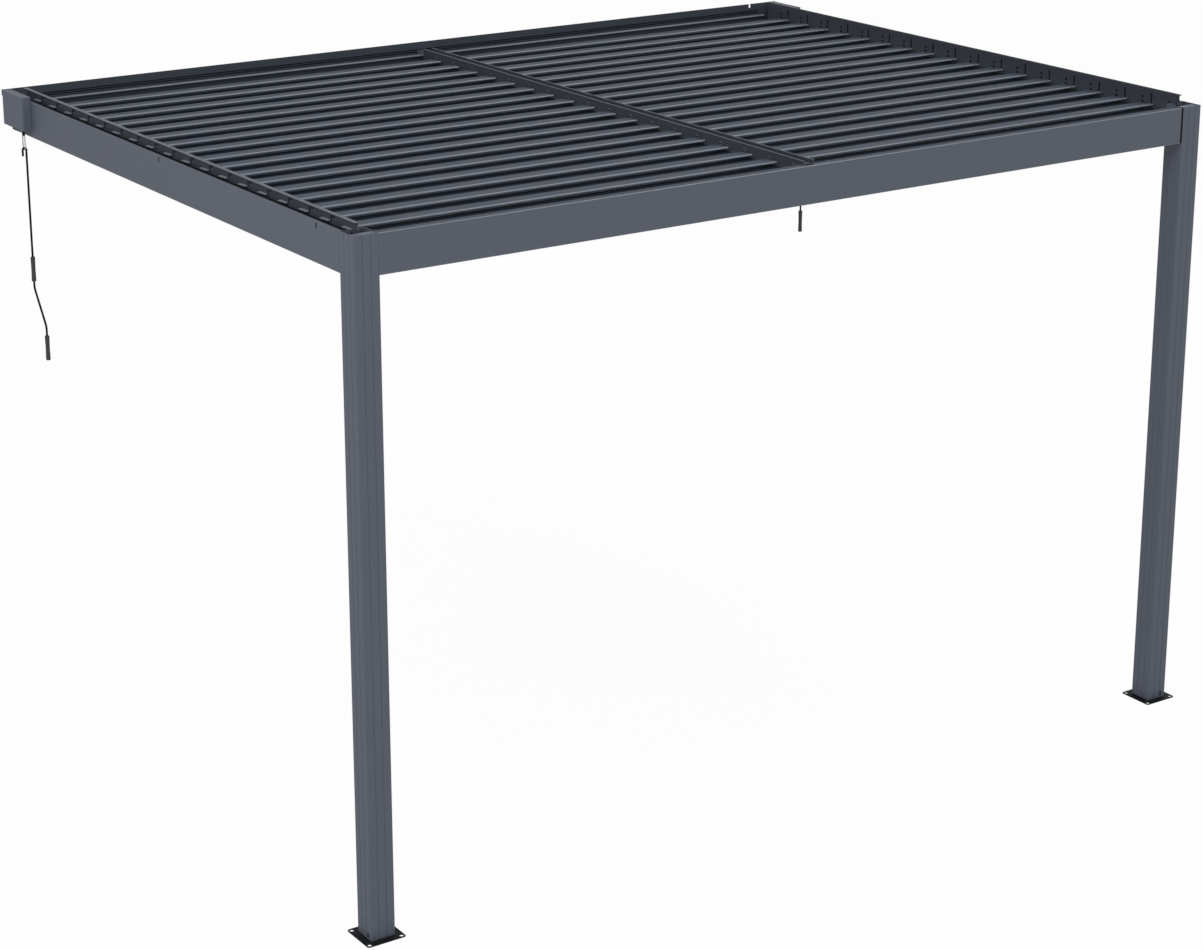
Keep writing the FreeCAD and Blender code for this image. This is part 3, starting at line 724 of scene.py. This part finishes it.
def gutterRim(look):
    # the folded sheet's outline, and one rounded rectangle for each rib, carried along x
    front, rear, top, wall = look["front"], look["rear"], look["top"], look["sheet"]
    rim = [(front, look["foot"]), (front, top - look["faceHeight"]), (front, top),
           (front + look["crownDepth"], top - look["crownDrop"]), (rear, top - look["rearDrop"]),
           (rear, top - look["rearDrop"] - wall), (front + wall, top - wall),
           (front + wall, look["foot"])]
    outlines = [(rim, sheet)]
    for height in look["ribs"]:
        low, high = height - look["ribHeight"] / 2, height + look["ribHeight"] / 2
        outlines.append(([(look["ribFront"], low), (look["ribRear"], low),
                          (look["ribRear"], high), (look["ribFront"], high)], rib))
    return [(*prism(filletOutline(outline, look["rounding"], 3), 0, -look["end"], look["end"]),
             index) for outline, index in outlines]


def colourRim(look, mesh):
    # painted highlight on the fold and the strip under it, and painted shade on the rest of the
    # front face
    centres, normals, indices = readFaces(mesh)
    face = (indices == sheet) & (centres[:, 1] < look["front"] + look["crownDepth"] - 0.1)
    fold = (centres[:, 2] > look["top"] - look["faceHeight"]) & (normals[:, 1] < 0.7)
    indices[face] = np.where(fold[face], light, dark)
    mesh.polygons.foreach_set("material_index", indices)


points, faces, indices = gather(gutterRim(rimLook))
rim = addMesh("wall_gutter_rim", points, faces, rimMaterials, indices)
colourRim(rimLook, rim.data)
finishPiece(rim, "frame")


# Painted shadow in the joint between the front beam and the right post: a black strip fills the gap

jointShadowLook = {"front": -2959.4, "rear": -2946.0, "height": 148.0, "rounding": 1.0,
            "beamClearance": 0.2, "postClearance": 0.1}


def jointShadowStrip(look):
    # rounded rectangle of painted shadow carried along x through the joint
    half = look["height"] / 2
    outline = [(look["front"], -half), (look["rear"], -half), (look["rear"], half),
               (look["front"], half)]
    return prism(filletOutline(outline, look["rounding"], 3), 0,
                 roof["postFace"] - endLook["jointGap"] + look["beamClearance"],
                 roof["postFace"] - look["postClearance"])


seal = addMesh("right_joint_shadow", *jointShadowStrip(jointShadowLook), [blackRubberAndShade])
finishPiece(seal, "frame")
print("fittings made")


# Cranks: spindle, eye, hooked rod and its two grips

crankLook = {
    "axisX": 2022.0, "axisY": -172.0, "rodX": 2014.0, "tipX": 2030.0,
    "rodRadius": 4.5,                        # 0.5 over the solid's, as thick as it looks
    "archTop": -122.6, "tipBottom": -156.6, "bendTop": -729.0, "bendBottom": -876.0,
    "offsetY": -278.0, "rodEnd": -968.5, "bendRadius": 42.0,
    "spindleTop": -25.0, "spindleBottom": -71.0, "spindleRadius": 6.0, "spindleChamfer": 1.0,
    "eyeTop": -66.0, "eyeHeight": 66.0, "eyeWidth": 28.0, "eyeWire": 5.0,
}
gripLook = {
    "radius": 10.0, "length": 107.0, "upper": -700.0, "lower": -1022.0,
    "waist": 0.9, "rings": 11, "ringDepth": 0.35,
    "easing": 2.5, "endShare": 0.8,          # ends round over 2.5 mm to 0.8 of the radius
}


def crankRod(look):
    # hook's tip, half circle over the eye, straight rod, two bends and the run into the lower grip
    y = look["axisY"]
    hookRadius = (look["tipX"] - look["rodX"]) / 2
    t = np.linspace(0.0, pi, 13)
    centre = look["archTop"] - hookRadius
    arch = np.stack([(look["tipX"] + look["rodX"]) / 2 + hookRadius * np.cos(t),
                     np.full_like(t, y), centre + hookRadius * np.sin(t)], axis=1)
    run = filletPath([(look["rodX"], y, centre - 1.0), (look["rodX"], y, look["bendTop"]),
                      (look["rodX"], look["offsetY"], look["bendBottom"]),
                      (look["rodX"], look["offsetY"], look["rodEnd"])], look["bendRadius"])
    path = np.concatenate([[(look["tipX"], y, look["tipBottom"])], arch, run])
    return tube(path, look["rodRadius"], 14, normal=(0.0, 1.0, 0.2))


def eyeRing(look):
    # closed loop: two straight runs joined by two half circles
    radius = (look["eyeWidth"] - look["eyeWire"]) / 2
    top = look["eyeTop"] - look["eyeWire"] / 2 - radius
    bottom = look["eyeTop"] - look["eyeHeight"] + look["eyeWire"] / 2 + radius
    t = np.linspace(0.0, pi, 13)
    upper = np.stack([radius * np.cos(t), top + radius * np.sin(t)], axis=1)
    lower = np.stack([-radius * np.cos(t), bottom - radius * np.sin(t)], axis=1)
    loop = np.concatenate([upper, lower])
    path = np.column_stack([np.full(len(loop), look["axisX"]), loop[:, 0] + look["axisY"],
                            loop[:, 1]])
    return tube(path, look["eyeWire"] / 2, 12, closed=True)


def spindle(look):
    # straight shaft down from the housing, chamfered at its lower end
    r, chamfer = look["spindleRadius"], look["spindleChamfer"]
    profile = [(r, look["spindleTop"]), (r, look["spindleBottom"] + chamfer),
               (r - chamfer, look["spindleBottom"])]
    return lathe(profile, 2, (look["axisX"], look["axisY"], 0.0), 20)


def sleeve(look, x, y, bottom):
    # waisted sleeve: the radius less a squared sine over the length and one for the rings,
    # drawn in at both ends as a quarter circle
    t = np.linspace(0.0, 1.0, 4 * look["rings"] + 1)
    waist = look["radius"] - look["waist"] * np.sin(pi * t) ** 2
    rings = look["ringDepth"] * np.sin(2 * pi * look["rings"] * t) ** 2
    ends = np.clip(np.minimum(t, 1 - t) * look["length"] / look["easing"], 0.0, 1.0)
    share = look["endShare"] + (1.0 - look["endShare"]) * np.sqrt(1 - (1 - ends) ** 2)
    profile = np.column_stack([(waist - rings) * share, bottom + t * look["length"]])
    return lathe(profile, 2, (x, y, 0.0), 24)


for side, sign in sides.items():
    body = side + "_crank"
    points, faces, indices = gather([(*crankRod(crankLook), 0), (*eyeRing(crankLook), 1),
                                     (*spindle(crankLook), 0)], sign)
    rod = addMesh(side + "_crank_rod", points, faces, [rodCoat, zinc], indices)
    finishPiece(rod, body, [side + "_crank"])
    x = crankLook["rodX"]
    points, faces, indices = gather([
        (*sleeve(gripLook, x, crankLook["axisY"], gripLook["upper"]), 0),
        (*sleeve(gripLook, x, crankLook["offsetY"], gripLook["lower"]), 0)], sign)
    grips = addMesh(side + "_grip_sleeves", points, faces, [gripPlastic], indices)
    finishPiece(grips, body, [side + "_crank_grips"])
print("cranks made")


# Floor, light and camera

stageLook = {
    "floor": "#f2f2f0", "ground": -2575.0, "floorSize": 40000.0,
    "floorGlow": 0.96,                       # how much of the seen floor is plain white
    "worldStrength": 0.6,
}
lampLooks = {        # place, target and size in metres, and power in watts
    "key": ((-7.0, -6.0, 5.0), (0.0, -1.5, -0.5), (5.0, 4.0), 330.0),
    "fill": ((5.0, -8.0, 3.0), (0.0, -1.5, -0.5), (5.0, 4.0), 60.0),
    "overhead": ((5.3, -4.4, 8.0), (0.0, -1.5, 0.0), (2.2, 2.2), 190.0),
}
cameraLook = {       # solved from the straight edges in the photograph; metres and degrees
    "lens": 83.579, "shift": (-0.00321, -0.09743),
    "place": (-6.40686, -11.00895, 2.37701), "turn": (73.38031, -0.03108, -34.01086),
}


def makeFloor(look):
    # white paper roll: takes a soft shadow, and looks nearly white to the camera
    material = newMaterial("pale studio floor")
    coordinates = addNode(material, "ShaderNodeTexCoord")
    noise = addNode(material, "ShaderNodeTexNoise", {
        "Vector": coordinates.outputs["Object"], "Scale": 1.5, "Detail": 2.0})
    tone = addNode(material, "ShaderNodeMix", {
        0: noise.outputs["Fac"], 6: linear(look["floor"]), 7: (1.0, 1.0, 1.0, 1.0)},
        data_type="RGBA")
    diffuse = addNode(material, "ShaderNodeBsdfDiffuse", {"Color": tone.outputs[2]})
    glow = addNode(material, "ShaderNodeEmission", {"Strength": 1.0})
    rays = addNode(material, "ShaderNodeLightPath")
    seen = addNode(material, "ShaderNodeMath", {
        0: rays.outputs["Is Camera Ray"], 1: look["floorGlow"]}, operation="MULTIPLY")
    mixed = addNode(material, "ShaderNodeMixShader", {
        0: seen.outputs[0], 1: diffuse.outputs[0], 2: glow.outputs[0]})
    addNode(material, "ShaderNodeOutputMaterial", {"Surface": mixed.outputs[0]})
    h = look["floorSize"] / 2
    points = [(x, y, look["ground"]) for x, y in ((-h, -h), (h, -h), (h, h), (-h, h))]
    addMesh("studio_floor", points, [[0, 1, 2, 3]], [material])


def makeWorld(look):
    # even light on the object, and white to the camera and in reflections
    world = bpy.data.worlds.new("studio")
    bpy.context.scene.world = world
    world.use_nodes = True
    world.node_tree.nodes.clear()
    rays = addNode(world, "ShaderNodeLightPath")
    seen = addNode(world, "ShaderNodeMath", {
        0: rays.outputs["Is Camera Ray"], 1: rays.outputs["Is Glossy Ray"]}, operation="MAXIMUM")
    seen = addNode(world, "ShaderNodeMath", {
        0: seen.outputs[0], 1: rays.outputs["Is Transmission Ray"]}, operation="MAXIMUM")
    light = addNode(world, "ShaderNodeBackground", {
        "Color": (1.0, 1.0, 1.0, 1.0), "Strength": look["worldStrength"]})
    white = addNode(world, "ShaderNodeBackground", {"Color": (1.0, 1.0, 1.0, 1.0), "Strength": 1.0})
    mixed = addNode(world, "ShaderNodeMixShader", {
        0: seen.outputs[0], 1: light.outputs[0], 2: white.outputs[0]})
    addNode(world, "ShaderNodeOutputWorld", {"Surface": mixed.outputs[0]})


def addLamp(name, place, target, size, power):
    data = bpy.data.lights.new(name, "AREA")
    data.shape = "RECTANGLE"
    data.size, data.size_y = size
    data.energy = power
    lamp = linkObject(name, data)
    lamp.location = place
    direction = np.asarray(target, float) - np.asarray(place, float)
    lamp.rotation_euler = Vector(direction).to_track_quat("-Z", "Y").to_euler()


def makeCamera(look):
    data = bpy.data.cameras.new("camera")
    data.sensor_width = 36.0
    data.lens = look["lens"]
    data.shift_x, data.shift_y = look["shift"]
    data.clip_end = 200.0
    camera = linkObject("camera", data)
    camera.location = look["place"]
    camera.rotation_euler = [radians(value) for value in look["turn"]]
    bpy.context.scene.camera = camera


makeFloor(stageLook)
makeWorld(stageLook)
for name, values in lampLooks.items():
    addLamp(name, *values)
makeCamera(cameraLook)
bpy.context.scene.view_settings.view_transform = "Standard"
print("stage made")
